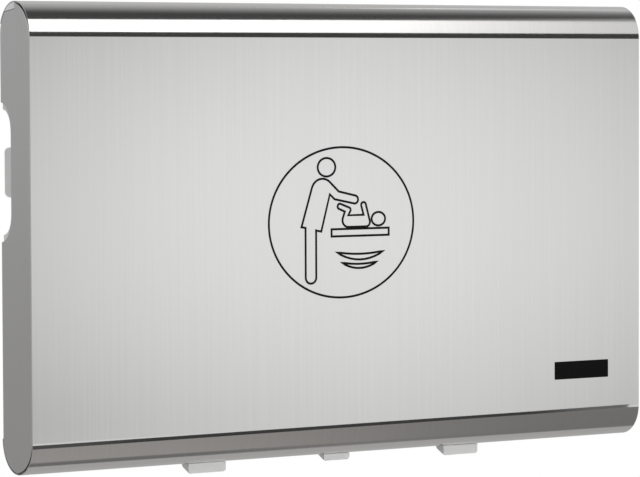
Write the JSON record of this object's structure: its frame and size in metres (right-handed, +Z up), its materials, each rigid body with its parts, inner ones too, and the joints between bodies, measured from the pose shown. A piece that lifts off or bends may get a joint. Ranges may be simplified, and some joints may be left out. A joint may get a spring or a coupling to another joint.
{
  "type": "baby changing station",
  "caption": "Wall-mounted fold-down baby changing station: rolled brushed-steel cover with scooped ends, moulded bed tub with safety strap, damped bottom hinge, bag hooks and liner cover.",
  "frame": {"origin": "on the back face of the chassis plate, at its middle across and level with the middle of the cover's height", "axes": "+X to the right as seen from the front, +Y into the wall, +Z up; the bed is folded up at rest"},
  "size_m": [0.95, 0.0903, 0.6166],
  "materials": {
    "cover_steel": "satin stainless sheet, grain upright on the front",
    "bright_steel": "bright zinc plated",
    "galvanised_steel": "galvanised sheet, dull",
    "grey_moulding": "fine moulded grain, light grey",
    "pale_moulding": "fine moulded grain, pale grey",
    "dark_moulding": "satin moulded, near black",
    "red_moulding": "moulded red",
    "rubber": "matt black",
    "webbing": "woven nylon webbing, dark grey",
    "black_plate": "plain black plate with no lettering"
  },
  "bodies": {
    "wall_unit": {"arm_bolt_left_lower": "bright_steel", "arm_bolt_left_upper": "bright_steel", "arm_bolt_right_lower": "bright_steel", "arm_bolt_right_upper": "bright_steel", "arm_bush_left": "dark_moulding", "arm_bush_right": "dark_moulding", "bag_hook_left": "grey_moulding", "bag_hook_right": "grey_moulding", "buffer_left_lower": "rubber", "buffer_left_upper": "rubber", "buffer_right_lower": "rubber", "buffer_right_upper": "rubber", "chassis_plate": "galvanised_steel", "damper_left": "dark_moulding", "damper_right": "dark_moulding", "hinge_arm_left": "galvanised_steel", "hinge_arm_right": "galvanised_steel", "liner_rail_left": "pale_moulding", "liner_rail_right": "pale_moulding", "magnet_left": "dark_moulding", "magnet_right": "dark_moulding", "rear_tray": "pale_moulding", "support_block_centre": "grey_moulding", "support_block_left": "grey_moulding", "support_block_right": "grey_moulding", "wall_screw_left_lower": "bright_steel", "wall_screw_left_upper": "bright_steel", "wall_screw_right_lower": "bright_steel", "wall_screw_right_upper": "bright_steel"},
    "bed": {"front_skin": "cover_steel", "end_cap_left": "cover_steel", "end_cap_right": "cover_steel", "side_trim_left": "pale_moulding", "side_trim_right": "pale_moulding", "badge_plate": "black_plate", "stiffener_upper": "galvanised_steel", "stiffener_lower": "galvanised_steel", "bed_tub": "pale_moulding", "tub_ledge_left": "galvanised_steel", "tub_ledge_right": "galvanised_steel", "tub_screw_left_upper": "bright_steel", "tub_screw_left_lower": "bright_steel", "tub_screw_right_upper": "bright_steel", "tub_screw_right_lower": "bright_steel", "strike_left": "bright_steel", "strike_right": "bright_steel", "hinge_bracket_left": "galvanised_steel", "hinge_bracket_right": "galvanised_steel", "hinge_pin_left": "bright_steel", "hinge_pin_right": "bright_steel", "strap_upper": "webbing", "strap_lower": "webbing", "strap_anchor_upper": "dark_moulding", "strap_anchor_lower": "dark_moulding", "buckle_socket": "dark_moulding", "buckle_plug": "dark_moulding"},
    "buckle_button": {"buckle_button": "red_moulding"},
    "liner_cover": {"liner_cover": "grey_moulding"}
  },
  "joints": [
    {"name": "bed_fold", "type": "hinge", "parent": "wall_unit", "child": "bed", "pos_m": [0, -0.0462, -0.2583], "axis": [1, 0, 0], "range_deg": [0, 90]},
    {"name": "buckle_press", "type": "slide", "parent": "bed", "child": "buckle_button", "axis": [0, -1, 0], "range_m": [0, 0.0025], "stiffness_N_per_m": 900, "springref_m": -0.002},
    {"name": "liner_cover_lift", "type": "slide", "parent": "wall_unit", "child": "liner_cover", "axis": [0, 0, 1], "range_m": [0, 0.06]}
  ]
}
